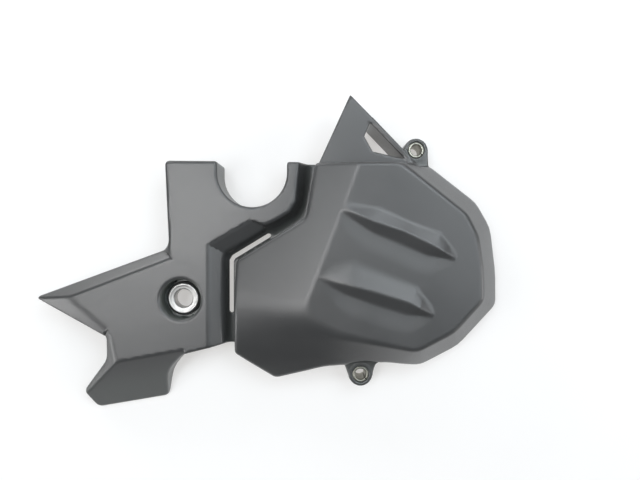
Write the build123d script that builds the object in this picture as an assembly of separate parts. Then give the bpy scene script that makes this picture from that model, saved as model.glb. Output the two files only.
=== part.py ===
"""Motorcycle sprocket cover: a dome, a rear guard and a fin moulded as one plastic shell, with its bushes.

The cover lies on its rear rim. The rear plane is z = 0, the outer face looks up along +Z, +X is toward
the dome and +Y toward the fin. The origin is the axis of the lower eyelet, on the rear plane.
"""
from build123d import *
import math
import os

os.makedirs("parts", exist_ok=True)

# Heights over the rear plane
panel_height = 42.0
skirt_height = 18.0
face_height = 28.0
valley_height = 17.0
fin_height = 30.0

# Walls
wall = 2.5
fin_thickness = 2.8
fin_wall = 3.0
rib_wall = 1.6

# Eyelets, with a rolled steel bush in each
eyelet_height = 17.5
eyelet_radius = 7.0
bush_radius = 4.7
bush_bore_radius = 3.2
bush_slit = 0.7
slit_azimuth = -40.0
bush_clearance = 0.05
upper_eyelet = (32.8, 132.2)
lower_eyelet = (0.0, 0.0)

# Rear fixing, a flanged collar in a rubber grommet at the bottom of a round recess
fixing = (-103.8, 45.1)
recess_radius = 12.3
recess_height = 17.0
recess_floor = 3.0
grommet_radius = 10.0
grommet_neck_radius = 8.0
grommet_flange = 2.0
grommet_clearance = 0.05
collar_flange_radius = 9.0
collar_flange = 1.5
collar_radius = 6.8
collar_bore_radius = 5.35
collar_edge = 0.4

# Round notch in the top of the guard
notch_centre = (-62.9, 118.1)
notch_radius = 20.0

# Slot through the valley floor
slot_width = 2.6

# Raised gills on the panel: how far each crest stands up, and how deep its foot is sunk
gill_rise = 3.0
gill_root = 1.0

# Reach of a cutting body, well past the part
reach = 400.0

# Guard outline, each corner with its radius
guard_corners = [
    ((-112.2, 124.2), 2.5),
    ((-109.9, 74.0), 7.0),
    ((-187.5, 45.2), 1.2),
    ((-147.9, 23.4), 3.0),
    ((-149.0, 11.5), 9.0),
    ((-163.8, -10.0), 3.5),
    ((-159.2, -22.5), 3.5),
    ((-116.2, -15.4), 3.5),
    ((-113.0, 2.0), 20.0),
    ((-103.0, 13.4), 12.0),
    ((-80.8, 18.8), 0.5),
    ((-66.0, 18.8), 0.5),
    ((-64.0, 62.0), 1.0),
    ((-24.0, 82.0), 1.0),
    ((-20.0, 124.2), 0.5),
]

# Dome outline, each corner with its radius: left and lower side, the skirt's round side, the upper corner
left_side = [
    ((-25.6, 122.4), 2.0),
    ((-31.6, 86.4), 8.0),
    ((-71.8, 66.2), 4.0),
    ((-73.0, 14.4), 3.0),
    ((-50.0, -1.8), 5.0),
    ((-22.0, 6.5), 40.0),
    ((14.0, 9.0), 30.0),
]
skirt_side = [
    ((33.0, 5.7), 14.0),
    ((56.5, 18.2), 25.0),
    ((79.0, 41.6), 9.0),
    ((78.9, 60.0), 60.0),
    ((75.4, 86.0), 22.0),
    ((67.0, 100.4), 18.0),
]
upper_corner = ((41.4, 121.6), 3.0)
dome_corners = left_side + skirt_side + [upper_corner]

# Dome flanks, from a line round the skirt's top to a line round the panel, corner for corner
flank_foot = skirt_side + [
    ((-46.0, 190.0), 5.0),
    ((-110.0, 190.0), 5.0),
    ((-113.9, 9.1), 5.0),
    ((-28.9, -9.1), 30.0),
]
flank_head = [
    ((28.8, 19.0), 12.0),
    ((49.0, 29.6), 22.0),
    ((65.8, 46.0), 9.0),
    ((65.6, 62.0), 50.0),
    ((63.0, 81.0), 18.0),
    ((57.0, 93.2), 15.0),
    ((-64.0, 190.0), 5.0),
    ((-110.0, 190.0), 5.0),
    ((-113.9, 49.5), 5.0),
    ((-18.9, 29.1), 25.0),
]

# Left face of the dome, a plane that falls from the panel's left edge
left_face_point = (-33.2, 40.0)
left_face_azimuth = 159.0
left_face_slope = 14.0

# Valley between guard and dome: its brink on the guard's face, and the edge of its floor, corner for corner
valley_brink = [
    (-81.1, -40.0),
    (-81.1, 71.6),
    (-87.7, 76.6),
    (-63.9, 90.5),
    (-57.0, 88.1),
    (-49.8, 91.9),
    (-42.3, 96.5),
    (-38.9, 102.2),
    (-36.2, 160.0),
    (0.0, 160.0),
    (-30.0, -40.0),
]
valley_floor = [
    (-77.2, -40.0),
    (-77.2, 68.6),
    (-76.2, 70.6),
    (-54.8, 82.6),
    (-51.0, 82.2),
    (-45.2, 84.8),
    (-37.5, 89.8),
    (-33.9, 95.1),
    (-29.0, 160.0),
    (0.0, 160.0),
    (-30.0, -40.0),
]
slot_path = [(-75.9, 37.3), (-75.9, 67.4), (-74.6, 69.9), (-49.9, 81.3)]

# Slanted cuts of the guard: a point on the crease, the azimuth and slope of the fall, and the region cut
arrow_top_region = [(-109.7, 69.5), (-189.7, 128.7), (-260.0, 128.7), (-260.0, 0.0), (-109.7, 0.0)]
arm_fade_region = [(-109.7, 69.5), (-110.9, 90.0), (-160.0, 128.7), (-189.7, 128.7)]
arrow_lower_region = [(-145.7, 27.6), (-145.7, 100.0), (-260.0, 100.0), (-260.0, 23.4), (-147.9, 23.4)]
foot_side_region = [(-145.7, 27.6), (-147.9, 23.4), (-260.0, 23.4), (-260.0, -60.0), (-100.0, -60.0)]
foot_toe_region = [(-260.0, 9.4), (-140.5, 9.4), (-102.2, 16.3), (-98.0, -60.0), (-260.0, -60.0)]
valley_facet_region = [(-87.7, 76.6), (-77.0, 68.9), (-77.0, -60.0), (-87.7, -60.0)]
bevels = [
    ((-168.0, 46.6), 110.9, 40.0, arrow_top_region),
    ((-109.7, 69.5), 183.7, 42.0, arm_fade_region),
    ((-168.0, 46.6), 229.3, 20.0, arrow_lower_region),
    ((-140.5, 9.4), 191.5, 29.0, foot_side_region),
    ((-140.5, 9.4), 280.2, 40.4, foot_toe_region),
    ((-87.7, 76.6), 0.0, 26.6, valley_facet_region),
]

# Stiffening ribs inside the guard, from the rear fixing out to each of these places
rib_ends = [(-103.8, 118.0), (-170.0, 45.1), (-140.0, -10.0), (-80.0, 45.1)]
rib_depth = 10.0

# Tabs that carry the eyelets: where each side leaves the eyelet, as an angle over the X axis, and its root
upper_tab_angle = 0.0
upper_tab_root = [(40.4, 119.0), (25.8, 119.0)]
lower_tab_angle = -19.5
lower_tab_root = [(13.9, 9.4), (13.9, 12.0), (-10.8, 12.0), (-10.8, 9.4)]

# Gills: cross sections from tip to end, each with its upper foot, its crest and its lower foot
gill_tip = 0.2
upper_gill = [
    ((9.0, 94.3), (6.0, 89.0), (4.5, 84.3)),
    ((25.0, 87.0), (22.3, 83.7), (20.0, 78.0)),
    ((41.5, 81.0), (38.0, 76.0), (35.0, 71.6)),
]
upper_gill_ends = ((-17.9, 99.4), (50.8, 68.5))
lower_gill = [
    ((-6.0, 64.9), (-9.0, 54.4), (-10.0, 50.2)),
    ((9.0, 59.0), (6.0, 50.5), (4.5, 45.0)),
    ((28.5, 51.5), (25.0, 44.7), (23.5, 39.2)),
]
lower_gill_ends = ((-26.1, 59.0), (38.6, 37.5))

# Fin, with a wall down its outer edge and a window beside that wall
fin_apex = (-6.8, 161.6)
fin_kink = (5.1, 148.5)
fin_heel = (33.0, 123.0)
fin_root = (-29.0, 120.6)
window_corners = [(1.3, 138.2), (6.1, 129.6), (27.6, 124.6)]


def outline(corners):
    """Flat face inside a closed outline of rounded corners."""
    points = [corner for corner, radius in corners]
    radii = [radius for corner, radius in corners]
    return make_face(FilletPolyline(*points, radius=radii, close=True))


def polygon(points):
    """Flat face inside straight sides."""
    return make_face(Polyline(*points, close=True))


def prism(face, bottom, top):
    """The face drawn up from one height to another."""
    return extrude(Pos(0, 0, bottom) * face, top - bottom, dir=(0, 0, 1))


def drawn_in(face, inset):
    """The face with its sides moved in by the inset."""
    return offset(face, -inset, kind=Kind.INTERSECTION) if inset else face


def post(place, radius, bottom, top):
    """Upright round bar at a place."""
    standing = (Align.CENTER, Align.CENTER, Align.MIN)
    return Pos(place[0], place[1], bottom) * Cylinder(radius, top - bottom, align=standing)


def over_plane(point, height, azimuth, slope):
    """Body over a plane through the point at this height that falls toward the azimuth."""
    turn = math.radians(azimuth)
    tilt = math.radians(slope)
    normal = (math.sin(tilt) * math.cos(turn), math.sin(tilt) * math.sin(turn), math.cos(tilt))
    plane = Plane(origin=(point[0], point[1], height), z_dir=normal)
    return plane * Box(2 * reach, 2 * reach, reach, align=(Align.CENTER, Align.CENTER, Align.MIN))


def dome(inset):
    """The dome as a solid, drawn in by the inset on every outer side."""
    foot = drawn_in(outline(flank_foot), 1.3 * inset)
    head = drawn_in(outline(flank_head), 1.3 * inset)
    drop = 0.4 * inset
    flanks = loft([Pos(0, 0, skirt_height - drop) * foot, Pos(0, 0, panel_height - drop) * head], ruled=True)
    flanks += prism(foot, -inset, skirt_height - drop)
    solid = prism(drawn_in(outline(dome_corners), inset), -inset, panel_height - inset)
    solid &= flanks
    return solid - over_plane(left_face_point, panel_height - inset, left_face_azimuth, left_face_slope)


def notch(inset):
    """Round notch open toward +Y, grown by the inset."""
    radius = notch_radius + inset
    x, y = notch_centre
    mouth = Pos(x, y, -inset) * Box(2 * radius, reach, reach, align=(Align.CENTER, Align.MIN, Align.MIN))
    return mouth + post(notch_centre, radius, -inset, reach)


def valley(inset):
    """Space of the valley, moved down and toward the guard by the inset."""
    floor = Pos(0, 0, valley_height) * polygon(valley_floor)
    brink = Pos(0, 0, face_height) * polygon(valley_brink)
    space = loft([floor, brink], ruled=True) + prism(polygon(valley_brink), face_height, reach)
    return Pos(-1.1 * inset, 0.6 * inset, -inset) * space


def guard(inset):
    """The rear guard as a solid, drawn in by the inset on every outer side."""
    solid = prism(drawn_in(outline(guard_corners), inset), -inset, face_height - inset)
    solid -= notch(inset)
    solid -= valley(inset)
    for point, azimuth, slope, region in bevels:
        height = face_height - inset / math.cos(math.radians(slope))
        solid -= over_plane(point, height, azimuth, slope) & prism(polygon(region), -reach, reach)
    return solid


def gill(sections, ends):
    """Raised gill, a chain of three-sided sections between two small ends sunk in the panel."""
    foot = panel_height - gill_root
    crest = panel_height + gill_rise
    faces = []
    for upper, top, lower in sections:
        corners = [(*upper, foot), (*top, crest), (*lower, foot)]
        faces.append(Face(Wire(Polyline(*corners, close=True))))
    for place, side in ((0, ends[0]), (len(faces) + 1, ends[1])):
        x, y = side
        corners = [(x, y + gill_tip, foot), (x, y, foot + gill_tip), (x, y - gill_tip, foot)]
        faces.insert(place, Face(Wire(Polyline(*corners, close=True))))
    return loft(faces, ruled=True)


def fin():
    """Fin plate with its window, and the wall down its outer edge."""
    length = math.dist(fin_kink, fin_heel)
    across = ((fin_heel[1] - fin_kink[1]) / length, (fin_kink[0] - fin_heel[0]) / length)

    def behind(point, depth):
        """The point moved in from the fin's outer edge by the depth."""
        return (point[0] + across[0] * depth, point[1] + across[1] * depth)

    root_corner = (fin_heel[0], fin_root[1])
    plan = polygon([fin_apex, fin_kink, fin_heel, root_corner, fin_root])
    plate = prism(plan, fin_height - fin_thickness, fin_height)
    side = [behind(fin_heel, fin_wall / 2), behind(fin_kink, fin_wall / 2)]
    plate -= prism(polygon(side + window_corners), 0, fin_height + wall)
    edge = [fin_kink, fin_heel, root_corner, behind(fin_heel, fin_wall), behind(fin_kink, fin_wall)]
    return plate + prism(polygon(edge), 0, fin_height)


def tab(place, angle, root):
    """Tab from the skirt out to an eyelet, a plate with side walls and a round boss for the bush."""
    across = eyelet_radius * math.cos(math.radians(angle))
    along = eyelet_radius * math.sin(math.radians(angle))
    x, y = place
    plan = polygon([(x - across, y + along), (x + across, y + along)] + root)
    hollow = prism(drawn_in(plan, wall), -wall, eyelet_height - wall)
    boss = post(place, eyelet_radius, 0, eyelet_height)
    return prism(plan, 0, eyelet_height) - hollow + boss


def slot():
    """Narrow slot along its path through the valley floor."""
    path = Polyline(*slot_path)
    strip = offset(path, slot_width / 2, side=Side.BOTH, kind=Kind.INTERSECTION)
    return prism(make_face(strip), -wall, valley_height + wall)


def bar(start, end, width, bottom, top):
    """Upright plate between two places."""
    length = math.dist(start, end)
    angle = math.degrees(math.atan2(end[1] - start[1], end[0] - start[0]))
    plate = Box(length, width, top - bottom, align=(Align.MIN, Align.CENTER, Align.MIN))
    return Pos(start[0], start[1], bottom) * Rot(0, 0, angle) * plate


def cover():
    """The whole moulding."""
    dome_plan = outline(dome_corners)
    shell = guard(0) + dome(0) + gill(upper_gill, upper_gill_ends) + gill(lower_gill, lower_gill_ends) + fin()
    shell += tab(upper_eyelet, upper_tab_angle, upper_tab_root)
    shell += tab(lower_eyelet, lower_tab_angle, lower_tab_root)
    guard_hollow = guard(wall) - prism(dome_plan, -reach, reach)
    guard_hollow -= post(fixing, recess_radius + wall, recess_height - recess_floor, face_height)
    within_cup = post(fixing, recess_radius + wall / 2, 0, face_height)
    for end in rib_ends:
        guard_hollow -= bar(fixing, end, rib_wall, face_height - wall - rib_depth, face_height) - within_cup
    shell -= guard_hollow
    shell -= dome(wall)
    shell -= slot()
    shell -= post(fixing, recess_radius, recess_height, reach)
    shell -= post(fixing, grommet_neck_radius + grommet_clearance, 0, reach)
    for place in (upper_eyelet, lower_eyelet):
        shell -= post(place, bush_radius + bush_clearance, -wall, reach)
    return shell


def grommet():
    """Rubber ring that grips the recess floor between two flanges."""
    bottom = recess_height - recess_floor
    ring = post(fixing, grommet_radius, bottom - grommet_flange, bottom)
    ring += post(fixing, grommet_neck_radius, bottom, recess_height)
    ring += post(fixing, grommet_radius, recess_height, recess_height + grommet_flange)
    ring -= post(fixing, collar_radius + grommet_clearance, 0, reach)
    return ring


def collar():
    """Flanged steel sleeve that sits in the grommet."""
    bottom = recess_height - recess_floor - grommet_flange
    seat = recess_height + grommet_flange
    sleeve = post(fixing, collar_radius, bottom, seat)
    sleeve += post(fixing, collar_flange_radius, seat, seat + collar_flange)
    sleeve -= post(fixing, collar_bore_radius, 0, reach)
    rim = sleeve.edges().filter_by(GeomType.CIRCLE).group_by(Axis.Z)[-1].sort_by(SortBy.RADIUS)[-1]
    return chamfer(rim, collar_edge)


def bush(place):
    """Rolled steel bush with a narrow slit down its side."""
    ring = post(place, bush_radius, 0, eyelet_height) - post(place, bush_bore_radius, -wall, reach)
    cut = bar((0, 0), (2 * bush_radius, 0), bush_slit, -wall, eyelet_height + wall)
    ring -= Pos(place[0], place[1], 0) * Rot(0, 0, slit_azimuth) * cut
    return ring


parts = {
    "sprocket_cover": cover(),
    "rear_grommet": grommet(),
    "rear_collar": collar(),
    "upper_eyelet_bush": bush(upper_eyelet),
    "lower_eyelet_bush": bush(lower_eyelet),
}
for name, shape in parts.items():
    export_step(shape, f"parts/{name}.step")
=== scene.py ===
"""Looks of the sprocket cover: moulded shell, rubber grommet, plated collar and rolled bushes.

All lengths are millimetres in the part's own frame until a mesh is made, which is in metres. Angles are degrees.
"""

import logging
import math
from dataclasses import dataclass, field
from enum import Enum
from typing import Any, Callable, Sequence

import bpy
import numpy as np
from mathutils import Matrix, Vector


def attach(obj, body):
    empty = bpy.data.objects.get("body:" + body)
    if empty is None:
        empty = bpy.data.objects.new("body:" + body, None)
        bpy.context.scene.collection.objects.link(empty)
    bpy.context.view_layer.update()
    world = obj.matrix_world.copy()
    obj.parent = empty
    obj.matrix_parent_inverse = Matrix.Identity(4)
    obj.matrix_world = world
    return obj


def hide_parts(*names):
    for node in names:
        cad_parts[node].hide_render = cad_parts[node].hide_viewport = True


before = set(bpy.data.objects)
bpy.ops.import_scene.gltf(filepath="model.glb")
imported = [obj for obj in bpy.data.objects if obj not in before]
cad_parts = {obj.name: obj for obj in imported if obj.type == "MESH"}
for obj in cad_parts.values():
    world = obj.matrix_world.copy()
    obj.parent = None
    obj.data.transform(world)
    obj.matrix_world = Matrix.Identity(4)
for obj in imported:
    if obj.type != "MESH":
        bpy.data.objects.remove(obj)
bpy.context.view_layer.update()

log = logging.getLogger("cover")
MM = 0.001
ROOT = "root"

Point = tuple[float, float]
Span = tuple[float, float]
Corner = tuple[Point, float]
Colour = tuple[float, float, float]
Field = Callable[["Places"], np.ndarray]

FIXING: Point = (-103.8, 45.1)
UPPER_EYELET: Point = (32.8, 132.2)
LOWER_EYELET: Point = (0.0, 0.0)
EYELET_HEIGHT = 17.5
RECESS_RADIUS = 11.4
HAIRLINE = 1e-6
NO_LENGTH = 1e-9
COOL: Colour = (0.93, 1.0, 1.05)


class Slot(Enum):
    """Names of material slots."""

    PLASTIC = "cover_plastic"
    RUBBER = "grommet_rubber"
    COLLAR = "collar_steel"
    BUSH = "bush_steel"


class Node(Enum):
    """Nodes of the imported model."""

    COVER = "sprocket_cover"
    GROMMET = "rear_grommet"
    COLLAR = "rear_collar"
    UPPER_BUSH = "upper_eyelet_bush"
    LOWER_BUSH = "lower_eyelet_bush"


class Socket:
    """A value in a shader that sums and products can be written with."""

    def __init__(self, shader: "Shader", link: Any) -> None:
        """Keeps the socket.

        Args:
            shader: The shader that the socket belongs to.
            link: The output socket.
        """
        self.shader = shader
        self.link = link

    def _math(self, operation: str, first: Any, second: Any) -> "Socket":
        """The Math node of two values."""
        return self.shader.node("ShaderNodeMath", {"operation": operation}, {0: first, 1: second})

    def __add__(self, other: Any) -> "Socket":
        """Sum."""
        return self._math("ADD", self, other)

    def __sub__(self, other: Any) -> "Socket":
        """Difference."""
        return self._math("SUBTRACT", self, other)

    def __mul__(self, other: Any) -> "Socket":
        """Product."""
        return self._math("MULTIPLY", self, other)


class Shader:
    """The nodes of a material or of the world."""

    def __init__(self, owner: Any) -> None:
        """Empties the owner's nodes.

        Args:
            owner: The material or the world.
        """
        self.owner = owner
        owner.use_nodes = True
        self.tree = owner.node_tree
        self.tree.nodes.clear()

    def node(self, kind: str, settings: dict[str, Any] | None = None,
             values: dict[Any, Any] | None = None, output: Any = 0) -> Socket:
        """Adds a node of any kind.

        Args:
            kind: The node's type.
            settings: Its settings, set first.
            values: Values or links for its input sockets, by name or number.
            output: The name or number of the output to hand back.

        Returns:
            The output socket.
        """
        made = self.tree.nodes.new(kind)
        for key, value in (settings or {}).items():
            setattr(made, key, value)
        for key, value in (values or {}).items():
            socket = made.inputs[key]
            if isinstance(value, Socket):
                self.tree.links.new(value.link, socket)
            else:
                socket.default_value = value
        return Socket(self, made.outputs[output])

    def place(self) -> Socket:
        """Object coordinates, in metres."""
        return self.node("ShaderNodeTexCoord", output="Object")

    def height(self) -> Socket:
        """Height over the rear plane, in metres."""
        return self.node("ShaderNodeSeparateXYZ", values={0: self.place()}, output="Z")

    def from_axis(self, centre: Point) -> Socket:
        """Distance from an upright axis, in metres.

        Args:
            centre: Where the axis stands, in millimetres.

        Returns:
            The distance.
        """
        foot = (centre[0] * MM, centre[1] * MM, 0.0)
        arm = self.node("ShaderNodeVectorMath", {"operation": "SUBTRACT"}, {0: self.place(), 1: foot})
        flat = self.node("ShaderNodeVectorMath", {"operation": "MULTIPLY"}, {0: arm, 1: (1.0, 1.0, 0.0)})
        return self.node("ShaderNodeVectorMath", {"operation": "LENGTH"}, {0: flat}, "Value")

    def noise(self, scale: float, detail: float = 2.0, roughness: float = 0.5,
              vector: Socket | None = None) -> Socket:
        """Noise between 0 and 1.

        Args:
            scale: Waves per metre.
            detail: Octaves.
            roughness: Weight of the finer octaves.
            vector: Where the noise is read, the object's own place if left out.

        Returns:
            The noise value.
        """
        values = {"Scale": scale, "Detail": detail, "Roughness": roughness}
        return self.node("ShaderNodeTexNoise", values={"Vector": vector or self.place(), **values})

    def ramp(self, value: Any, low: float, high: float, start: float = 0.0, end: float = 1.0) -> Socket:
        """The value carried from one range to another, held at its ends.

        Args:
            value: The value to carry over.
            low: Where the old range starts.
            high: Where the old range ends.
            start: Where the new range starts.
            end: Where the new range ends.

        Returns:
            The value in the new range.
        """
        limits = {1: low, 2: high, 3: start, 4: end}
        return self.node("ShaderNodeMapRange", {"interpolation_type": "SMOOTHSTEP"}, {0: value, **limits})

    def mix(self, factor: Any, first: Any, second: Any) -> Socket:
        """Colour between two colours.

        Args:
            factor: 0 for the first, 1 for the second.
            first: A colour or a link.
            second: A colour or a link.

        Returns:
            The mixed colour.
        """
        low, high = (tone if isinstance(tone, Socket) else (*tone, 1.0) for tone in (first, second))
        return self.node("ShaderNodeMix", {"data_type": "RGBA"}, {0: factor, 6: low, 7: high}, 2)

    def shades(self, factor: Any, colour: Colour, shares: Span) -> Socket:
        """One colour, scaled by a share that lies between two.

        Args:
            factor: 0 for the first share, 1 for the second.
            colour: The colour.
            shares: The two shares.

        Returns:
            The scaled colour.
        """
        first, second = ([share * part for part in colour] for share in shares)
        return self.mix(factor, first, second)

    def bump(self, height: Any, strength: float, distance: float) -> Socket:
        """Normal tilted by a height.

        Args:
            height: The height, between 0 and 1.
            strength: How much of it shows.
            distance: What a height of 1 stands for, in metres.

        Returns:
            The tilted normal.
        """
        values = {"Height": height, "Strength": strength, "Distance": distance}
        return self.node("ShaderNodeBump", values=values)

    def coat(self, **values: Any) -> Any:
        """Gives the owner a principled surface.

        Args:
            values: Values or links for its input sockets, with _ for a space in the name.

        Returns:
            The owner.
        """
        named = {name.replace("_", " "): value for name, value in values.items()}
        return self.finish(self.node("ShaderNodeBsdfPrincipled", values=named))

    def finish(self, surface: Socket, kind: str = "ShaderNodeOutputMaterial") -> Any:
        """Connects the surface.

        Args:
            surface: The surface.
            kind: The output node's type.

        Returns:
            The owner.
        """
        out = self.tree.nodes.new(kind)
        self.tree.links.new(surface.link, out.inputs["Surface"])
        return self.owner


@dataclass(frozen=True)
class MouldedPlastic:
    """Black moulded plastic with a fine matte grain, and painted fill light that makes it paler where it lies
    low.
    """

    colour: Colour = (0.042, 0.043, 0.044)
    shares: Span = (0.9, 1.1)
    cloud: float = 18.0
    cloud_range: Span = (0.35, 0.65)
    rough_range: Span = (0.3, 0.7)
    roughness: Span = (0.33, 0.39)
    grain: float = 2600.0
    grain_rough: float = 0.1
    grain_bump: float = 0.35
    grain_height: float = 0.00012
    refraction: float = 1.5
    shine: float = 0.88
    painted_fill_colour: Colour = (0.082, 0.092, 0.086)
    painted_fill_share: float = 0.45
    painted_fill_heights: Span = (0.012, 0.028)
    recess_fill_share: float = 0.9
    recess_edge: float = 1.0

    def material(self) -> Any:
        """The finish as a material.

        Painted fill light makes the low places paler, and those in the round recess the most.

        Returns:
            The material.
        """
        shader = Shader(bpy.data.materials.new("moulded_plastic"))
        cloud = shader.noise(self.cloud, detail=3.0, roughness=0.55)
        grain = shader.noise(self.grain, roughness=0.6)
        tone = shader.shades(shader.ramp(cloud, *self.cloud_range), self.colour, self.shares)
        # Painted fill light: the shell turns paler below 28 mm high, most below 12 mm, standing in for light in
        # its low, shaded places.
        low = shader.ramp(shader.height(), *self.painted_fill_heights, self.painted_fill_share, 0.0)
        edge = (RECESS_RADIUS * MM, (RECESS_RADIUS + self.recess_edge) * MM)
        # Painted fill light in the round recess, strongest inside its radius and gone a millimetre beyond it.
        hollow = shader.ramp(shader.from_axis(FIXING), *edge, self.recess_fill_share, 0.0)
        # The painted fill light mixes the plastic's tone toward the paler colour.
        tone = shader.mix(low + hollow, tone, self.painted_fill_colour)
        rough = shader.ramp(cloud, *self.rough_range, *self.roughness) + (grain - 0.5) * self.grain_rough
        normal = shader.bump(grain, self.grain_bump, self.grain_height)
        return shader.coat(Base_Color=tone, Roughness=rough, Normal=normal,
                           IOR=self.refraction, Specular_IOR_Level=self.shine)


@dataclass(frozen=True)
class Rubber:
    """Matte black rubber."""

    colour: Colour = (0.030, 0.031, 0.030)
    shares: Span = (0.8, 1.3)
    rough_range: Span = (0.3, 0.7)
    roughness: Span = (0.69, 0.81)
    grain: float = 1800.0
    grain_bump: float = 0.4
    grain_height: float = 0.0001

    def material(self) -> Any:
        """The finish as a material.

        Returns:
            The material.
        """
        shader = Shader(bpy.data.materials.new("grommet_rubber"))
        grain = shader.noise(self.grain, detail=3.0, roughness=0.6)
        tone = shader.shades(grain, self.colour, self.shares)
        rough = shader.ramp(grain, *self.rough_range, *self.roughness)
        normal = shader.bump(grain, self.grain_bump, self.grain_height)
        return shader.coat(Base_Color=tone, Roughness=rough, Normal=normal)


@dataclass(frozen=True)
class PlatedSteel:
    """Zinc plated steel, bright or dull, with faint turning marks."""

    name: str
    colour: Colour
    roughness: float
    blotch: float
    centre: Point
    cloud: float = 260.0
    cloud_range: Span = (0.35, 0.65)
    rough_range: Span = (0.3, 0.7)
    rougher: float = 0.08
    smoother: float = 0.04
    turning: float = 3200.0
    turning_lean: float = 0.7
    turning_rough: float = 0.12
    turning_bump: float = 0.25
    turning_height: float = 0.00005

    def material(self) -> Any:
        """The finish as a material.

        The turning marks are noise on the distance from the ring's axis, with a little of the height.

        Returns:
            The material.
        """
        shader = Shader(bpy.data.materials.new(self.name))
        cloud = shader.noise(self.cloud, detail=4.0, roughness=0.6)
        track = shader.node("ShaderNodeCombineXYZ", values={
            0: shader.from_axis(self.centre), 1: shader.height() * self.turning_lean})
        turned = shader.noise(self.turning, vector=track)
        tone = shader.shades(shader.ramp(cloud, *self.cloud_range), self.colour, (1 - self.blotch, 1.0))
        ends = (self.roughness + self.rougher, self.roughness - self.smoother)
        rough = shader.ramp(cloud, *self.rough_range, *ends) + (turned - 0.5) * self.turning_rough
        normal = shader.bump(turned, self.turning_bump, self.turning_height)
        return shader.coat(Base_Color=tone, Metallic=1.0, Roughness=rough, Normal=normal)


def piece(name: str, points: np.ndarray, faces: Any) -> Any:
    """A mesh object.

    Args:
        name: The piece's name.
        points: Its points in millimetres, one row each.
        faces: Corner numbers, one row each, as an array or a list.

    Returns:
        The object, at the origin, smooth shaded.
    """
    mesh = bpy.data.meshes.new(name)
    rows = faces.tolist() if isinstance(faces, np.ndarray) else faces
    mesh.from_pydata((points * MM).tolist(), [], rows)
    mesh.validate()
    mesh.shade_smooth()
    made = bpy.data.objects.new(name, mesh)
    bpy.context.scene.collection.objects.link(made)
    return made


def install(made: Any, finish: Any, node: Node) -> None:
    """Gives a piece its finish, its body and the CAD node it stands for.

    Args:
        made: The piece.
        finish: Its finish.
        node: The CAD node.
    """
    made.data.materials.clear()
    made.data.materials.append(finish.material())
    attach(made, ROOT)
    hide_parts(node.value)
    log.info("%s stands for %s", made.name, node.value)


def soft_max(first: Any, second: Any, blend: float) -> np.ndarray:
    """The larger of two values, with the crease between them rounded.

    The larger value gets a quarter of h squared times the blend, where h falls from 1 on the crease to
    0 where the two values differ by the blend.

    Args:
        first: A value at each place.
        second: A value at each place.
        blend: How far apart the values are where the rounding ends.

    Returns:
        The blended value at each place.
    """
    near = np.maximum(blend - np.abs(first - second), 0.0) / blend
    return np.maximum(first, second) + near * near * (blend * 0.25)


def soft_min(first: Any, second: Any, blend: float) -> np.ndarray:
    """The smaller of two values, with the crease between them rounded as in soft_max."""
    return -soft_max(-first, -second, blend)


def ease(value: Any) -> np.ndarray:
    """A smooth step: 3 t squared less 2 t cubed, with t held between 0 and 1."""
    share = np.clip(value, 0.0, 1.0)
    return share * share * (3.0 - 2.0 * share)


def unit(rows: np.ndarray) -> np.ndarray:
    """Each row scaled to a length of 1."""
    return rows / np.maximum(np.linalg.norm(rows, axis=1, keepdims=True), NO_LENGTH)


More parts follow.
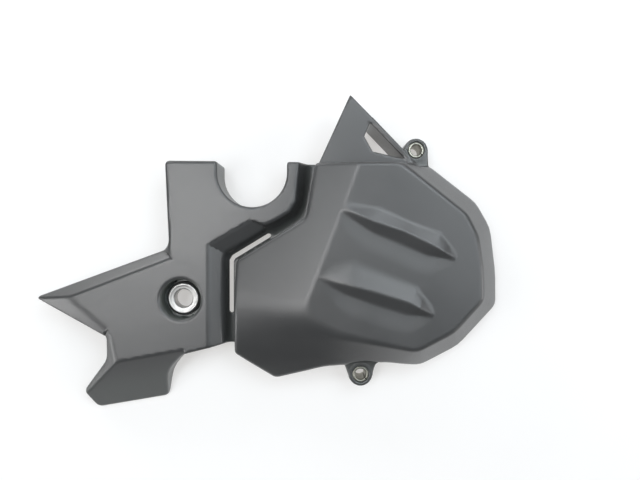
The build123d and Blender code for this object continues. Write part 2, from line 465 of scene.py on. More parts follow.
class Outline:
    """A closed line in plan with rounded corners."""

    ARC_STEP = 12.0

    @classmethod
    def sharp(cls, points: Sequence[Point]) -> "Outline":
        """An outline without rounding."""
        return cls([(point, 0.0) for point in points])

    def __init__(self, corners: Sequence[Corner]) -> None:
        """Works the line out.

        Each corner becomes an arc that touches both of its sides: it starts r tan(turn / 2) before the
        corner.

        Args:
            corners: Each corner's place and radius.
        """
        places = np.array([corner for corner, _ in corners], float)
        runs = []
        for number, (_, radius) in enumerate(corners):
            here = places[number]
            before = here - places[number - 1]
            after = places[(number + 1) % len(places)] - here
            before = before / np.linalg.norm(before)
            after = after / np.linalg.norm(after)
            turn = math.atan2(before[0] * after[1] - before[1] * after[0], before @ after)
            start = here - before * radius * math.tan(abs(turn) / 2)
            centre = start + math.copysign(radius, turn) * np.array([-before[1], before[0]])
            steps = math.ceil(abs(math.degrees(turn)) / self.ARC_STEP) if radius else 0
            angles = np.linspace(0.0, turn, steps + 1)
            arm = start - centre
            along = centre[0] + arm[0] * np.cos(angles) - arm[1] * np.sin(angles)
            across = centre[1] + arm[0] * np.sin(angles) + arm[1] * np.cos(angles)
            runs.append(np.stack([along, across], 1))
        self.line = np.concatenate(runs)

    def measure(self, x: np.ndarray, y: np.ndarray) -> tuple[np.ndarray, np.ndarray, np.ndarray]:
        """Distance in plan from the line, negative inside, and its slope along X and Y.

        A place is inside where a ray from it toward +X crosses the line an odd number of times. The
        slope is the direction from the nearest point of the line, or square to the line for a place
        that lies on it.

        Args:
            x: Where along X.
            y: Where along Y.

        Returns:
            The distance and its two slopes.
        """
        x, y = np.broadcast_arrays(x, y)
        nearest = np.full(x.shape, np.inf)
        toward_x = np.zeros(x.shape)
        toward_y = np.zeros(x.shape)
        square_x = np.zeros(x.shape)
        square_y = np.zeros(x.shape)
        inside = np.zeros(x.shape, bool)
        turn = self.turn()
        for (ax, ay), (bx, by) in zip(self.line, np.roll(self.line, -1, axis=0)):
            ex, ey = bx - ax, by - ay
            length = ex * ex + ey * ey
            if length < HAIRLINE * HAIRLINE:
                continue
            wx, wy = x - ax, y - ay
            share = np.clip((wx * ex + wy * ey) / length, 0.0, 1.0)
            wx = wx - share * ex
            wy = wy - share * ey
            square = wx * wx + wy * wy
            closer = square < nearest
            nearest = np.where(closer, square, nearest)
            toward_x = np.where(closer, wx, toward_x)
            toward_y = np.where(closer, wy, toward_y)
            square_x = np.where(closer, turn * ey / math.sqrt(length), square_x)
            square_y = np.where(closer, -turn * ex / math.sqrt(length), square_y)
            if ay != by:
                inside ^= ((ay > y) != (by > y)) & (x < ex * (y - ay) / ey + ax)
        distance = np.sqrt(nearest)
        side = np.where(inside, -1.0, 1.0)
        on_line = distance < HAIRLINE
        scale = side / np.maximum(distance, HAIRLINE)
        along = np.where(on_line, square_x, scale * toward_x)
        across = np.where(on_line, square_y, scale * toward_y)
        return side * distance, along, across

    def turn(self) -> float:
        """1 for a line that runs anticlockwise, -1 for one that runs clockwise, from its signed area."""
        x, y = self.line.T
        return math.copysign(1.0, float(np.sum(x * np.roll(y, -1) - np.roll(x, -1) * y)))


class Places:
    """Places in space, with the distances in plan that were worked out for them."""

    def __init__(self, x: np.ndarray, y: np.ndarray, z: np.ndarray, near: "Places | None" = None) -> None:
        """Keeps the places.

        Args:
            x: Where along X.
            y: Where along Y.
            z: Height.
            near: Places a hair away, whose distances are carried over along their slopes.
        """
        self.x, self.y, self.z = x, y, z
        self.near = near
        self.found: dict[int, tuple[np.ndarray, np.ndarray, np.ndarray]] = {}

    def slopes(self, outline: Outline) -> tuple[np.ndarray, np.ndarray, np.ndarray]:
        """The outline's distance in plan and its two slopes here, worked out once.

        Args:
            outline: The outline.

        Returns:
            The distance and its slopes along X and Y.
        """
        if id(outline) not in self.found:
            self.found[id(outline)] = outline.measure(self.x, self.y)
        return self.found[id(outline)]

    def plan(self, outline: Outline) -> np.ndarray:
        """Distance in plan from the outline, negative inside.

        Args:
            outline: The outline.

        Returns:
            The distance.
        """
        if self.near is None:
            return self.slopes(outline)[0]
        distance, along, across = self.near.slopes(outline)
        return distance + along * (self.x - self.near.x) + across * (self.y - self.near.y)

    def round(self, centre: Point) -> np.ndarray:
        """Distance in plan from a point."""
        return np.hypot(self.x - centre[0], self.y - centre[1])

    def under_plane(self, point: Point, height: float, azimuth: float, slope: float) -> np.ndarray:
        """Distance over a sloping plane.

        Args:
            point: A point that it passes through, in plan.
            height: The point's height.
            azimuth: Which way it falls, in degrees from +X.
            slope: How steeply, in degrees.

        Returns:
            The distance, negative under it.
        """
        turn, tilt = math.radians(azimuth), math.radians(slope)
        across = (self.x - point[0]) * math.cos(turn) + (self.y - point[1]) * math.sin(turn)
        return math.sin(tilt) * across + math.cos(tilt) * (self.z - height)

    def wall_between(self, low: Outline, high: Outline, bottom: float, top: float) -> np.ndarray:
        """Distance from a wall that runs from one outline at the bottom to another at the top.

        At height share t it is (1 - t) times the low outline's distance plus t times the high one's,
        over the length of its slope. Under the bottom it goes straight down.

        Args:
            low: Outline at the bottom.
            high: Outline at the top.
            bottom: Height of the bottom.
            top: Height of the top.

        Returns:
            The distance, negative inside.
        """
        first, second = self.plan(low), self.plan(high)
        share = np.maximum((self.z - bottom) / (top - bottom), 0.0)
        lean = (second - first) / (top - bottom)
        return (first + (second - first) * share) / np.sqrt(1.0 + lean * lean)


def from_segment(places: Places, start: Point, end: Point) -> np.ndarray:
    """Distance in plan from a straight run.

    Args:
        places: Where.
        start: The run's start.
        end: The run's end.

    Returns:
        The distance.
    """
    ex, ey = end[0] - start[0], end[1] - start[1]
    share = ((places.x - start[0]) * ex + (places.y - start[1]) * ey) / (ex * ex + ey * ey)
    share = np.clip(share, 0.0, 1.0)
    return np.hypot(places.x - start[0] - share * ex, places.y - start[1] - share * ey)


@dataclass
class Gill:
    """A raised gill on the panel, with a gentle upper side, a steep lower side and a scoop under it."""

    upper: Sequence[Point]
    crest: Sequence[Point]
    lower: Sequence[Point]
    tip: Point
    end: Point
    rise: float = 2.4
    scoop: float = 0.6
    spread: float = 2.0
    run: float = 12.0
    swell: float = 24.0
    tail: float = 9.0
    crest_blend: float = 0.7
    foot_blend: float = 0.5
    lap: float = 0.4
    least_side: float = 0.5
    least_run: float = 0.3
    least_blend: float = 0.02
    blend_growth: float = 3.0

    def height(self, places: Places) -> np.ndarray:
        """How far the gill stands over the panel.

        Along the gill u runs from tip to end, and across it w. The three lines are piecewise straight
        in u. The upper side falls from the crest to the upper line, the lower side from the crest to
        the scoop at the lower line, and the scoop eases back to the panel over its run. All of it
        swells from the tip and falls at the tail.

        Args:
            places: Where.

        Returns:
            The height, negative in the scoop.
        """
        ex, ey = self.end[0] - self.tip[0], self.end[1] - self.tip[1]
        length = math.hypot(ex, ey)
        ex, ey = ex / length, ey / length
        dx, dy = places.x - self.tip[0], places.y - self.tip[1]
        along, across = dx * ex + dy * ey, dy * ex - dx * ey

        def track(line: Sequence[Point]) -> np.ndarray:
            """The line's place across the gill, at each place along it."""
            steps = np.array([self.tip, *line, self.end]) - self.tip
            return np.interp(along, steps @ (ex, ey), steps @ (-ey, ex))

        upper, lower = track(self.upper) + self.spread, track(self.lower) - self.lap
        crest = track(self.crest)
        size = ease(along / self.swell) * np.clip((length - along) / self.tail, 0.0, 1.0)
        size = np.where((along > 0) & (along < length), size, 0.0)
        rise, scoop = self.rise * size, self.scoop * size
        gentle = rise * (upper - across) / np.maximum(upper - crest, self.least_side)
        steep = rise + (rise + scoop) * (across - crest) / np.maximum(crest - lower, self.least_side)
        grown = np.clip(self.blend_growth * size, self.least_blend, 1.0)
        shape = soft_min(gentle, steep, self.crest_blend * grown)
        run = self.run * (self.least_run + (1.0 - self.least_run) * size)
        back = -scoop * (1.0 - ease((lower - across) / run))
        ground = np.where(across > crest, 0.0, np.where(across > lower, -scoop, back))
        return soft_max(shape, ground, self.foot_blend * grown)


@dataclass
class Guard:
    """The rear guard: arrow, foot and right arm, the round notch and the valley."""

    face: float = 28.0
    valley_height: float = 17.0
    edge: float = 1.5
    crease: float = 1.0
    floor_blend: float = 3.0
    notch_centre: Point = (-62.9, 118.1)
    notch_radius: float = 20.0
    corners: Sequence[Corner] = (
        ((-112.9, 124.8), 2.5), ((-110.6, 74.8), 7.0), ((-189.6, 45.9), 1.2), ((-146.9, 23.5), 3.0),
        ((-147.4, 10.0), 9.0), ((-164.6, -10.2), 3.5), ((-159.8, -23.1), 3.5), ((-117.0, -16.0), 3.5),
        ((-114.0, 2.0), 20.0), ((-103.0, 13.4), 12.0), ((-80.8, 18.8), 0.5), ((-66.0, 18.8), 0.5),
        ((-64.0, 62.0), 1.0), ((-24.0, 82.0), 1.0), ((-20.0, 123.8), 0.5),
    )
    brink: Sequence[Point] = (
        (-81.1, -40.0), (-81.1, 70.5), (-79.3, 73.4), (-58.5, 85.1), (-56.6, 87.4), (-49.4, 90.6),
        (-41.5, 95.3), (-37.8, 101.4), (-32.2, 160.0), (0.0, 160.0), (-30.0, -40.0),
    )
    floor: Sequence[Point] = (
        (-77.4, -40.0), (-77.4, 68.9), (-76.3, 70.9), (-56.2, 83.3), (-50.9, 83.9), (-46.4, 86.7),
        (-39.3, 91.5), (-35.7, 95.4), (-33.9, 100.2), (-25.0, 160.0), (0.0, 160.0), (-30.0, -40.0),
    )
    bevels: Sequence[tuple[Point, Sequence[Point], Sequence[Point]]] = (
        ((-168.0, 46.6), ((110.9, 40.0),),
         ((-109.7, 69.5), (-189.7, 128.7), (-260.0, 128.7), (-260.0, 0.0), (-109.7, 0.0))),
        ((-109.7, 69.5), ((183.7, 42.0),),
         ((-109.7, 69.5), (-110.9, 90.0), (-160.0, 128.7), (-189.7, 128.7))),
        ((-168.0, 46.6), ((229.3, 20.0),),
         ((-145.7, 27.6), (-145.7, 100.0), (-260.0, 100.0), (-260.0, 23.4), (-147.9, 23.4))),
        ((-140.5, 9.4), ((191.5, 29.0),),
         ((-145.7, 27.6), (-147.9, 23.4), (-260.0, 23.4), (-260.0, -60.0), (-100.0, -60.0))),
        ((-140.5, 9.4), ((280.2, 40.4),),
         ((-260.0, 9.4), (-140.5, 9.4), (-102.2, 16.3), (-98.0, -60.0), (-260.0, -60.0))),
        ((-87.7, 76.6), ((0.0, 26.6), (300.3, 25.8)),
         ((-87.7, 76.6), (-63.9, 90.5), (-57.0, 88.1), (-52.0, 75.0), (-70.0, 60.0), (-70.0, -60.0),
          (-87.7, -60.0))),
    )

    def __post_init__(self) -> None:
        """Works the outlines out."""
        self.outline = Outline(self.corners)
        self.brink_line, self.floor_line = Outline.sharp(self.brink), Outline.sharp(self.floor)
        self.regions = [Outline.sharp(region) for *_, region in self.bevels]

    def notch(self, places: Places) -> np.ndarray:
        """Distance from the round notch, which is open toward +Y."""
        down = np.minimum(places.y - self.notch_centre[1], 0.0)
        return np.hypot(places.x - self.notch_centre[0], down) - self.notch_radius

    def valley(self, places: Places) -> np.ndarray:
        """Distance from the space of the valley."""
        sides = places.wall_between(self.floor_line, self.brink_line, self.valley_height, self.face)
        return soft_max(sides, self.valley_height - places.z, self.floor_blend)

    def solid(self, places: Places) -> np.ndarray:
        """Distance from the guard as if it were solid: the outline under its face, less each cut.

        Args:
            places: Where.

        Returns:
            The distance, negative inside.
        """
        shape = soft_max(places.plan(self.outline), places.z - self.face, self.edge)
        for (point, planes, _), region in zip(self.bevels, self.regions):
            cut = -places.plan(region)
            for azimuth, slope in planes:
                cut = np.minimum(cut, places.under_plane(point, self.face, azimuth, slope))
            shape = soft_max(shape, cut, self.crease)
        shape = soft_max(shape, -self.notch(places), self.edge)
        return soft_max(shape, -self.valley(places), self.edge)


@dataclass
class Dome:
    """The dome: a flat panel with two gills, a left face and sloping flanks over a skirt."""

    panel: float = 42.0
    skirt: float = 18.0
    left_point: Point = (-33.2, 40.0)
    left_azimuth: float = 159.0
    left_slope: float = 14.0
    edge: float = 1.8
    left_blend: float = 0.4
    flank_blend: float = 1.8
    corner_blend: tuple[float, float] = (9.0, 16.0)
    corner_depth: float = 12.0
    left_side: Sequence[Corner] = (
        ((-26.4, 122.4), 2.0), ((-31.8, 91.5), 6.0), ((-71.8, 67.4), 3.5), ((-73.3, 13.8), 3.0),
        ((-50.0, -1.8), 5.0), ((-22.0, 6.5), 40.0), ((14.0, 9.0), 30.0),
    )
    skirt_side: Sequence[Corner] = (
        ((35.2, 5.3), 14.0), ((57.6, 17.0), 25.0), ((79.9, 41.1), 9.0), ((79.8, 60.0), 60.0),
        ((76.7, 86.5), 22.0), ((68.2, 101.4), 18.0),
    )
    upper_corner: Corner = ((42.0, 122.1), 3.0)
    foot_rest: Sequence[Corner] = (
        ((-46.0, 190.0), 5.0), ((-110.0, 190.0), 5.0), ((-113.9, 9.1), 5.0), ((-28.9, -9.1), 30.0),
    )
    head: Sequence[Corner] = (
        ((29.3, 17.6), 12.0), ((50.0, 28.5), 22.0), ((65.8, 46.0), 9.0), ((65.6, 62.0), 50.0),
        ((63.0, 81.0), 18.0), ((57.0, 93.2), 15.0), ((-64.0, 190.0), 5.0), ((-110.0, 190.0), 5.0),
        ((-113.9, 49.5), 5.0), ((-19.2, 27.8), 25.0),
    )
    gills: Sequence[Gill] = (
        Gill(((9.0, 94.3), (25.0, 87.0), (41.5, 81.0)), ((6.0, 89.0), (22.3, 83.7), (38.0, 76.0)),
             ((4.5, 84.3), (20.0, 78.0), (35.0, 71.6)), (-17.9, 99.4), (50.8, 68.5)),
        Gill(((-6.0, 64.9), (9.0, 59.0), (28.5, 51.5)), ((-9.0, 54.4), (6.0, 50.5), (25.0, 44.7)),
             ((-10.0, 50.2), (4.5, 45.0), (23.5, 39.2)), (-26.1, 59.0), (38.6, 37.5)),
    )

    def __post_init__(self) -> None:
        """Works the outlines out."""
        self.outline = Outline([*self.left_side, *self.skirt_side, self.upper_corner])
        self.foot_line = Outline([*self.skirt_side, *self.foot_rest])
        self.head_line = Outline(self.head)

    def solid(self, places: Places) -> np.ndarray:
        """Distance from the dome as if it were solid: the outline under panel, left face and flanks.

        Args:
            places: Where.

        Returns:
            The distance, negative inside.
        """
        top = places.z - self.panel
        for gill in self.gills:
            top = top - gill.height(places)
        left = places.under_plane(self.left_point, self.panel, self.left_azimuth, self.left_slope)
        flanks = places.wall_between(self.foot_line, self.head_line, self.skirt, self.panel)
        near, deep = self.corner_blend
        blend = near + (deep - near) * ease((self.panel - places.z) / self.corner_depth)
        share = ease((flanks - left) / deep + 0.5)
        slopes = soft_max(left, flanks, blend)
        top = soft_max(top, slopes, self.left_blend + (self.flank_blend - self.left_blend) * share)
        return soft_max(places.plan(self.outline), top, self.edge)


@dataclass
class Fin:
    """The fin: a thin plate with a window, and a wall down its outer edge."""

    height: float = 30.0
    thickness: float = 2.8
    wall: float = 3.0
    edge: float = 0.8
    apex: Point = (-6.7, 162.0)
    kink: Point = (6.4, 148.5)
    heel: Point = (32.0, 121.7)
    root: Point = (-25.8, 120.2)
    reach: float = 1.4
    window: Sequence[Point] = ((1.3, 138.2), (6.1, 129.6), (27.6, 124.6))

    def __post_init__(self) -> None:
        """Works the outlines out."""
        length = math.dist(self.kink, self.heel)
        inward = ((self.heel[1] - self.kink[1]) / length, (self.kink[0] - self.heel[0]) / length)

        def behind(point: Point, depth: float) -> Point:
            """The point moved in from the outer edge."""
            return (point[0] + inward[0] * depth, point[1] + inward[1] * depth)

        corner = (self.heel[0] + self.reach, self.root[1])
        plate = (self.apex, self.kink, self.heel, corner, self.root)
        window = (behind(self.heel, self.wall / 2), behind(self.kink, self.wall / 2), *self.window)
        side = (self.kink, self.heel, corner, behind(self.heel, self.wall), behind(self.kink, self.wall))
        self.plate_line, self.window_line, self.side_line = map(Outline.sharp, (plate, window, side))

    def solid(self, places: Places) -> np.ndarray:
        """Distance from the fin.

        Args:
            places: Where.

        Returns:
            The distance, negative inside.
        """
        half = self.thickness / 2
        across = np.abs(places.z - (self.height - half)) - half
        plate = soft_max(places.plan(self.plate_line), across, self.edge)
        plate = soft_max(plate, -places.plan(self.window_line), self.edge)
        side = soft_max(places.plan(self.side_line), places.z - self.height, self.edge)
        return soft_min(plate, side, self.edge)


@dataclass
class Tab:
    """A tab from the skirt out to an eyelet, hollow from behind, with a boss for the bush."""

    place: Point
    angle: float
    root: Sequence[Corner]
    height: float = EYELET_HEIGHT
    radius: float = 7.0
    bore: float = 4.75
    wall: float = 2.5
    edge: float = 1.2
    boss_blend: float = 0.5

    def __post_init__(self) -> None:
        """Works the outline out."""
        across = self.radius * math.cos(math.radians(self.angle))
        along = self.radius * math.sin(math.radians(self.angle))
        x, y = self.place
        self.outline = Outline([((x - across, y + along), 0.0), ((x + across, y + along), 0.0), *self.root])

    def solid(self, places: Places) -> np.ndarray:
        """Distance from the tab.

        Args:
            places: Where.

        Returns:
            The distance, negative inside.
        """
        side = places.plan(self.outline)
        plate = soft_max(side, places.z - self.height, self.edge)
        plate = np.maximum(plate, -np.maximum(side + self.wall, places.z - self.height + self.wall))
        boss = soft_max(places.round(self.place) - self.radius, places.z - self.height, self.edge)
        return soft_min(plate, boss, self.boss_blend)


@dataclass
class Skin:
    """Puts a mesh on the surface where a field is zero.

    A field gives the distance from the surface at any place, negative inside. The field is read on a
    grid of cells. Each cell that the surface crosses gets one point, where the tangent planes of its
    crossings meet best, so that edges stay straight, and the point is then moved onto the surface. Each
    crossed edge of the grid gets two triangles between the points of the four cells round it.
    """

    cell: float = 1.2
    pull: float = 0.03
    hair: float = 0.02
    margin: float = 0.02
    rounds: int = 3
    stride: float = 0.4
    least_slope: float = 0.2

    def slopes(self, shape: Field, points: np.ndarray) -> tuple[np.ndarray, np.ndarray]:
        """The field and its slope, from four places a hair away from each point.

        Args:
            shape: The field.
            points: Points, one row each.

        Returns:
            The field at each point, and its slope.
        """
        near = Places(*points.T)
        value = np.zeros(len(points))
        slope = np.zeros_like(points)
        for arm in np.array([(1, -1, -1), (-1, -1, 1), (-1, 1, -1), (1, 1, 1)], float):
            found = shape(Places(*(points + self.hair * arm).T, near))
            value += found / 4.0
            slope += found[:, None] * arm / (4.0 * self.hair)
        return value, slope

    def crossings(self, shape: Field, low: np.ndarray, count: np.ndarray) -> tuple[np.ndarray, ...]:
        """Where the grid's edges cross the surface.

        Args:
            shape: The field.
            low: The grid's lowest corner.
            count: How many grid points it has each way.

        Returns:
            The crossing points, the numbers of the four cells round each, and whether its lower end is
            inside.
        """
        x, y, z = (low[axis] + self.cell * np.arange(count[axis]) for axis in range(3))
        grid = shape(Places(x[:, None, None], y[None, :, None], z[None, None, :]))
        grid = np.broadcast_to(grid, tuple(count))
        points, cells, inward = [], [], []
        for axis in range(3):
            before = np.moveaxis(np.moveaxis(grid, axis, 0)[:-1], 0, axis)
            after = np.moveaxis(np.moveaxis(grid, axis, 0)[1:], 0, axis)
            crossed = (before < 0) != (after < 0)
            corner = np.argwhere(crossed)
            point = low + self.cell * corner
            point[:, axis] += self.cell * before[crossed] / (before[crossed] - after[crossed])
            first, second = (axis + 1) % 3, (axis + 2) % 3
            ring = []
            for down_first, down_second in ((1, 1), (0, 1), (0, 0), (1, 0)):
                place = corner.copy()
                place[:, first] -= down_first
                place[:, second] -= down_second
                ring.append((place[:, 0] * count[1] + place[:, 1]) * count[2] + place[:, 2])
            points.append(point)
            cells.append(np.stack(ring, 1))
            inward.append(before[crossed] < 0)
        return np.concatenate(points), np.concatenate(cells), np.concatenate(inward)

    def wrap(self, shape: Field, low: Sequence[float], high: Sequence[float]) -> tuple[np.ndarray, ...]:
        """The mesh of the surface.

        In each cell the point x makes the sum of (n . (x - p)) squared least over its crossings p with
        normals n, with a small pull toward their middle.

        Args:
            shape: The field.
            low: Lowest corner of the grid.
            high: Highest corner of the grid.

        Returns:
            The points, the triangles and the normal at each point.
        """
        start = np.array(low, float)
        count = np.ceil((np.array(high) - start) / self.cell).astype(int) + 1
        points, cells, outward = self.crossings(shape, start, count)
        normals = unit(self.slopes(shape, points)[1])
        numbers, ring = np.unique(cells, return_inverse=True)
        ring = ring.reshape(cells.shape)

        def gather(values: np.ndarray) -> np.ndarray:
            """The sum of the crossings' values in each cell."""
            return sum(np.bincount(ring[:, side], values, len(numbers)) for side in range(4))

        weight = gather(np.ones(len(points)))
        middle = np.stack([gather(points[:, axis]) for axis in range(3)], 1) / weight[:, None]
        reach = (normals * points).sum(1)
        aim = np.stack([gather(normals[:, axis] * reach) for axis in range(3)], 1)
        spread = np.array([[gather(normals[:, a] * normals[:, b]) for a in range(3)] for b in range(3)])
        spread = np.moveaxis(spread, 2, 0)
        aim -= np.einsum("nij,nj->ni", spread, middle)
        pull = (self.pull * weight)[:, None, None] * np.eye(3)
        moved = np.linalg.solve(spread + pull, aim[..., None])[..., 0]
        corner = start + self.cell * np.stack(np.unravel_index(numbers, count), 1)
        floor, ceiling = corner + self.margin * self.cell, corner + (1.0 - self.margin) * self.cell
        vertices = np.clip(middle + moved, floor, ceiling)
        for _ in range(self.rounds):
            value, slope = self.slopes(shape, vertices)
            step = -(value / np.maximum((slope * slope).sum(1), self.least_slope))[:, None] * slope
            length = np.linalg.norm(step, axis=1, keepdims=True)
            held = self.stride * self.cell / np.maximum(length, NO_LENGTH)
            vertices = vertices + step * np.minimum(1.0, held)
        slope = unit(self.slopes(shape, vertices)[1])
        quads = np.where(outward[:, None], ring, ring[:, ::-1])
        return vertices, self.split(vertices, slope, quads), slope

    def split(self, vertices: np.ndarray, normals: np.ndarray, quads: np.ndarray) -> np.ndarray:
        """Cuts each four-sided face along the diagonal that lies closer to the surface.

        The diagonal's ends have normals that are square to it where it runs along a crease.

        Args:
            vertices: The points.
            normals: Their normals.
            quads: Four corner numbers a row.

        Returns:
            Three corner numbers a row.
        """
        def lift(first: int, second: int) -> np.ndarray:
            """How far a diagonal leans on the normals at its ends.

            Args:
                first: Which of the face's corners it starts at.
                second: Which one it ends at.

            Returns:
                The lean of each face's diagonal.
            """
            a, b = quads[:, first], quads[:, second]
            arm = unit(vertices[b] - vertices[a])
            return np.abs((arm * normals[a]).sum(1)) + np.abs((arm * normals[b]).sum(1))

        turned = np.where((lift(0, 2) <= lift(1, 3))[:, None], quads, np.roll(quads, -1, axis=1))
        return np.concatenate([turned[:, [0, 1, 2]], turned[:, [0, 2, 3]]])


@dataclass
class Moulding:
    """The moulded shell: guard, dome, fin and tabs in one piece, hollow from behind."""

    wall: float = 2.5
    rib: float = 2.1
    rib_depth: float = 10.0
    slot_width: float = 2.5
    fixing: Point = FIXING
    recess_radius: float = RECESS_RADIUS
    recess_height: float = 17.0
    recess_floor: float = 3.0
    recess_edge: float = 2.2
    neck: float = 8.05
    rim: float = 0.5
    dome_blend: float = 0.6
    fin_blend: float = 1.0
    tab_blend: float = 1.5
    guard: Guard = field(default_factory=Guard)
    dome: Dome = field(default_factory=Dome)
    fin: Fin = field(default_factory=Fin)
    upper_tab: Tab = field(default_factory=lambda: Tab(UPPER_EYELET, 0.0, (
        ((40.4, 119.0), 0.0), ((31.8, 119.2), 0.0), ((22.9, 128.8), 0.0), ((26.7, 135.6), 0.0))))
    lower_tab: Tab = field(default_factory=lambda: Tab(LOWER_EYELET, -19.5, (
        ((8.9, 6.2), 4.0), ((16.0, 8.8), 0.0), ((14.0, 14.0), 0.0), ((-10.8, 14.0), 0.0),
        ((-10.8, 9.4), 0.0))))
    bay: Sequence[Corner] = (
        ((-12.0, -2.0), 0.0), ((16.5, -2.0), 0.0), ((14.6, 6.2), 1.0), ((9.0, 9.6), 6.0), ((1.5, 10.7), 12.0),
        ((-6.5, 9.1), 6.0), ((-10.4, 5.6), 1.0))
    rib_ends: Sequence[Point] = ((-103.8, 118.0), (-170.0, 45.1), (-140.0, -10.0), (-80.0, 45.1))
    slot_path: Sequence[Point] = ((-76.1, 37.6), (-76.1, 67.2), (-74.9, 69.3), (-54.2, 81.9))
    low: Sequence[float] = (-191.0, -25.8, -1.6)
    high: Sequence[float] = (82.6, 165.1, 46.6)

    def __post_init__(self) -> None:
        """Works out the bay over the lower tab, which leaves room for the bolt's head."""
        self.bay_outline = Outline(self.bay)

    def hollow(self, places: Places, guard: np.ndarray) -> np.ndarray:
        """Distance from the space inside the guard, which leaves the recess's cup and the ribs standing.

        Args:
            places: Where.
            guard: Distance from the guard as if it were solid.

        Returns:
            The distance, negative inside the space.
        """
        centre = places.round(self.fixing)
        cup_foot = self.recess_height - self.recess_floor
        cup = np.maximum(centre - self.recess_radius - self.wall, cup_foot - places.z)
        space = np.maximum(guard + self.wall, -places.plan(self.dome.outline))
        space = np.maximum(space, -cup)
        for end in self.rib_ends:
            rib = from_segment(places, self.fixing, end) - self.rib / 2
            rib = np.maximum(rib, self.guard.face - self.wall - self.rib_depth - places.z)
            rib = np.maximum(rib, self.recess_radius + self.wall / 2 - centre)
            space = soft_max(space, -rib, self.rim)
        return space

    def field(self, places: Places) -> np.ndarray:
        """Distance from the whole moulding: its solids joined, less its hollows, slot and holes.

        Args:
            places: Where.

        Returns:
            The distance, negative inside.
        """
        guard, dome = self.guard.solid(places), self.dome.solid(places)
        bay = np.maximum(places.plan(self.bay_outline), self.lower_tab.height - places.z)
        inside = np.maximum(dome, -bay) + self.wall
        dome = soft_max(dome, -bay, self.rim)
        centre = places.round(self.fixing)
        recess = np.maximum(centre - self.recess_radius, self.recess_height - places.z)
        shape = soft_min(soft_max(guard, -recess, self.recess_edge), dome, self.dome_blend)
        shape = soft_min(shape, self.fin.solid(places), self.fin_blend)
        shape = soft_max(shape, -self.hollow(places, guard), self.rim)
        shape = soft_max(shape, -inside, self.rim)
        for tab in (self.upper_tab, self.lower_tab):
            shape = soft_min(shape, np.maximum(tab.solid(places), -inside), self.tab_blend)
        runs = [from_segment(places, *ends) for ends in zip(self.slot_path, self.slot_path[1:])]
        slot = np.minimum.reduce(runs) - self.slot_width / 2
        slot = np.maximum(slot, places.z - self.guard.valley_height - self.wall)
        shape = soft_max(shape, -slot, self.rim)
        shape = soft_max(shape, self.neck - centre, self.rim)
        for tab in (self.upper_tab, self.lower_tab):
            shape = soft_max(shape, tab.bore - places.round(tab.place), self.rim)
        return soft_max(shape, -places.z, self.rim)

    def build(self) -> Any:
        """The moulding as a mesh object, shaded by the field's own slope.

        Returns:
            The object.
        """
        vertices, triangles, normals = Skin().wrap(self.field, self.low, self.high)
        made = piece("moulding", vertices, triangles)
        made.data.normals_split_custom_set_from_vertices(normals.tolist())
        return made

    def dress(self) -> None:
        """Builds the moulding and gives it its finish."""
        install(self.build(), MouldedPlastic(), Node.COVER)


@dataclass
class Lathe:
    """A ring turned from a profile of radius and height, whole or with a slit."""

    name: str
    node: Node
    slot: Slot
    finish: Any
    centre: Point
    profile: Sequence[Corner]
    slit: float = 0.0
    azimuth: float = 0.0
    steps: int = 96
    crease: float = 40.0

    def build(self) -> Any:
        """The ring as a mesh object.

        A point of the profile with radius r goes to (r cos a, r sin a) round the centre at its own
        height, for each angle a. At a slit the angle starts and ends so that the gap is as wide at
        every radius, and each end is closed by a fan.

        Returns:
            The object.
        """
        radius, height = Outline(self.profile).line.T
        count = len(radius)
        rows = self.steps + 1 if self.slit else self.steps
        share = np.arange(rows)[:, None] / self.steps
        gap = np.arcsin(self.slit / 2 / radius)[None, :]
        angle = math.radians(self.azimuth) + gap + share * (2 * math.pi - 2 * gap)
        x = self.centre[0] + radius * np.cos(angle)
        y = self.centre[1] + radius * np.sin(angle)
        points = np.stack([x, y, np.broadcast_to(height, x.shape)], 2).reshape(-1, 3)
        row, place = np.meshgrid(np.arange(self.steps), np.arange(count), indexing="ij")
        after, beside = (row + 1) % rows, (place + 1) % count
        corners = ((row, place), (after, place), (after, beside), (row, beside))
        sides = np.stack([turned * count + along for turned, along in corners], 2)
        faces = sides.reshape(-1, 4).tolist()
        if self.slit:
            faces.append(list(range(count)))
            faces.append(list(range((rows - 1) * count, rows * count))[::-1])
        made = piece(self.name, points, faces)
        made.data.set_sharp_from_angle(angle=math.radians(self.crease))
        return made

    def dress(self) -> None:
        """Builds the ring and gives it its finish."""
        install(self.build(), self.finish, self.node)


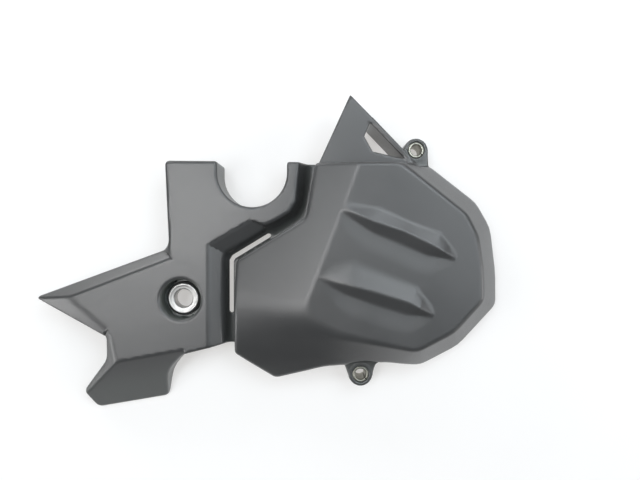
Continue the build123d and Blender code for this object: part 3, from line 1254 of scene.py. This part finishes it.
@dataclass
class Fixing:
    """Rubber grommet in the recess's floor, with the flanged collar in it."""

    centre: Point = FIXING
    floor_top: float = 17.0
    floor_bottom: float = 14.0
    lip: float = 2.0
    lip_radius: float = 10.0
    neck_radius: float = 8.0
    sleeve_radius: float = 6.8
    bore_radius: float = 5.35
    flange_radius: float = 8.9
    flange: float = 1.5
    dish_radii: Span = (7.9, 6.9)
    dish_drops: Span = (0.25, 0.35)
    gap: float = 0.05
    squash: float = 0.1

    def dress(self) -> None:
        """Builds grommet and collar, each from its profile, which runs round anticlockwise."""
        low, top = self.floor_bottom - self.lip, self.floor_top + self.lip
        inner, under = self.sleeve_radius + self.gap, top - self.squash
        lip, neck = self.lip_radius, self.neck_radius
        rubber = (
            ((inner, low), 0.3), ((lip, low), 0.6), ((lip, self.floor_bottom), 0.3),
            ((neck, self.floor_bottom), 0.2), ((neck, self.floor_top), 0.2),
            ((lip, self.floor_top), 0.4), ((lip, under), 0.9), ((inner, under), 0.2),
        )
        crown = top + self.flange
        steel = (
            ((self.bore_radius, low), 0.3), ((self.sleeve_radius, low), 0.3),
            ((self.sleeve_radius, top), 0.1), ((self.flange_radius, top), 0.3),
            ((self.flange_radius, crown), 0.7), ((self.dish_radii[0], crown), 0.5),
            ((self.dish_radii[1], crown - self.dish_drops[0]), 0.6),
            ((self.bore_radius, crown - self.dish_drops[1]), 0.7),
        )
        Lathe("grommet", Node.GROMMET, Slot.RUBBER, Rubber(), self.centre, rubber).dress()
        plate = PlatedSteel("bright_plate", (0.50, 0.50, 0.49), 0.40, 0.12, self.centre)
        Lathe("collar", Node.COLLAR, Slot.COLLAR, plate, self.centre, steel).dress()


@dataclass
class Bush:
    """Rolled steel bush with rounded lips and a narrow slit, a hair lower than its tab."""

    name: str
    node: Node
    place: Point
    radius: float = 4.65
    bore: float = 3.2
    height: float = EYELET_HEIGHT - 0.05
    foot_round: float = 0.4
    lip_round: float = 0.55
    bore_round: float = 0.6
    slit: float = 0.6
    azimuth: float = -40.0

    def dress(self) -> None:
        """Builds the bush and gives it its finish."""
        ring = (
            ((self.bore, 0.0), self.foot_round), ((self.radius, 0.0), self.foot_round),
            ((self.radius, self.height), self.lip_round), ((self.bore, self.height), self.bore_round),
        )
        plate = PlatedSteel(f"{self.name}_plate", (0.44, 0.44, 0.385), 0.36, 0.35, self.place)
        Lathe(self.name, self.node, Slot.BUSH, plate, self.place, ring, self.slit, self.azimuth).dress()


@dataclass
class Lamp:
    """A soft box: an oblong area lamp aimed at the part."""

    name: str
    place: tuple[float, float, float]
    width: float
    height: float
    power: float
    colour: Colour = (1.0, 1.0, 1.0)

    def light(self, aim: Vector) -> None:
        """Puts the lamp up.

        Args:
            aim: The point that it faces, in metres.
        """
        data = bpy.data.lights.new(self.name, "AREA")
        data.shape = "RECTANGLE"
        data.size, data.size_y = self.width, self.height
        data.energy, data.color = self.power, self.colour
        made = bpy.data.objects.new(self.name, data)
        bpy.context.scene.collection.objects.link(made)
        made.location = aim + Vector(self.place)
        made.rotation_mode = "QUATERNION"
        made.rotation_quaternion = (-Vector(self.place)).to_track_quat("-Z", "Y")
        made.visible_camera = False


@dataclass
class Studio:
    """Floor, soft boxes, world and camera."""

    centre: Point = (-23.9, 79.2)
    camera_height: float = 360.0
    lens: float = 32.66
    sensor: float = 36.0
    near: float = 0.01
    floor_half: float = 3000.0
    floor_drop: float = 0.05
    floor_paint: tuple[Colour, Colour] = ((0.90, 0.925, 0.95), (0.92, 0.945, 0.97))
    floor_glow: Colour = (1.0, 0.975, 0.945)
    floor_speck: float = 40.0
    floor_range: Span = (0.3, 0.9)
    glow_range: Span = (0.5, 1.0)
    lamps: list[Lamp] = field(default_factory=lambda: [
        Lamp("back_box", (0.0, 0.401, 0.861), 0.6, 0.25, 1.58, COOL),
        Lamp("corner_box", (0.385, 0.385, 0.778), 0.4, 0.4, 2.1, COOL),
        Lamp("right_box", (0.431, 0.0, 0.846), 0.3, 0.3, 1.1, COOL),
        Lamp("left_box_back", (-0.243, 0.098, 0.913), 0.3, 0.14, 1.9),
        Lamp("left_box_middle", (-0.359, -0.096, 0.874), 0.25, 0.16, 0.65),
        Lamp("left_box_front", (-0.518, -0.12, 0.788), 0.2, 0.12, 0.7),
        Lamp("low_left_box", (-0.787, -0.367, 0.386), 0.35, 0.3, 2.3),
        Lamp("low_back_left_box", (-0.518, 0.74, 0.294), 0.5, 0.3, 3.3),
        Lamp("low_back_box", (0.217, 0.81, 0.446), 0.6, 0.3, 1.2),
        Lamp("low_right_box", (0.859, -0.121, 0.386), 0.35, 0.6, 2.6),
        Lamp("low_front_right_box", (0.694, -0.542, 0.356), 0.35, 0.5, 0.5),
    ])
    world_level: float = 0.06
    horizon_level: float = 0.12
    horizon_range: Span = (0.15, 0.75)

    def floor(self) -> None:
        """Plain white floor under the part, which glows more toward its edges, so that it stays white."""
        half = self.floor_half
        corners = ((-half, -half), (half, -half), (half, half), (-half, half))
        made = piece("floor", np.array([(*corner, -self.floor_drop) for corner in corners]), [[0, 1, 2, 3]])
        shader = Shader(bpy.data.materials.new("floor_paint"))
        seen = shader.node("ShaderNodeLightPath", output="Is Camera Ray")
        mirrored = shader.node("ShaderNodeLightPath", output="Is Glossy Ray")
        tone = shader.mix(shader.noise(self.floor_speck), *self.floor_paint)
        paint = shader.node("ShaderNodeBsdfDiffuse", values={"Color": tone})
        glow = shader.node("ShaderNodeEmission", values={"Color": (*self.floor_glow, 1.0), "Strength": 1.0})
        far = shader.ramp(shader.from_axis(self.centre), *self.floor_range, *self.glow_range)
        surface = shader.node("ShaderNodeMixShader", values={0: (seen + mirrored) * far, 1: paint, 2: glow})
        made.data.materials.append(shader.finish(surface))

    def world(self) -> None:
        """Even light from all round, white where the camera sees it."""
        bpy.context.scene.world = bpy.data.worlds.new("studio")
        shader = Shader(bpy.context.scene.world)
        place = shader.node("ShaderNodeTexCoord", output="Generated")
        height = shader.node("ShaderNodeSeparateXYZ", values={0: place}, output="Z")
        level = shader.ramp(height, *self.horizon_range, self.horizon_level, self.world_level)
        white = {"Color": (1.0, 1.0, 1.0, 1.0)}
        soft = shader.node("ShaderNodeBackground", values={**white, "Strength": level})
        plain = shader.node("ShaderNodeBackground", values=white)
        seen = shader.node("ShaderNodeLightPath", output="Is Camera Ray")
        surface = shader.node("ShaderNodeMixShader", values={0: seen, 1: soft, 2: plain})
        shader.finish(surface, "ShaderNodeOutputWorld")

    def camera(self) -> None:
        """Camera straight over the part."""
        data = bpy.data.cameras.new("camera")
        data.lens = self.lens
        data.sensor_width = self.sensor
        data.clip_start = self.near
        made = bpy.data.objects.new("camera", data)
        bpy.context.scene.collection.objects.link(made)
        made.location = Vector((*self.centre, self.camera_height)) * MM
        bpy.context.scene.camera = made

    def build(self) -> None:
        """Puts up the whole studio."""
        self.floor()
        self.world()
        self.camera()
        aim = Vector((*self.centre, 0.0)) * MM
        for lamp in self.lamps:
            lamp.light(aim)
        bpy.context.scene.view_settings.view_transform = "Standard"
        log.info("studio with %d lamps", len(self.lamps))


def main() -> None:
    """Builds every piece in order."""
    logging.basicConfig(level=logging.INFO, format="%(name)s: %(message)s")
    Studio().build()
    Moulding().dress()
    Fixing().dress()
    Bush("upper_bush", Node.UPPER_BUSH, (32.8, 132.2)).dress()
    Bush("lower_bush", Node.LOWER_BUSH, (0.0, 0.0)).dress()


if __name__ == "__main__":
    main()
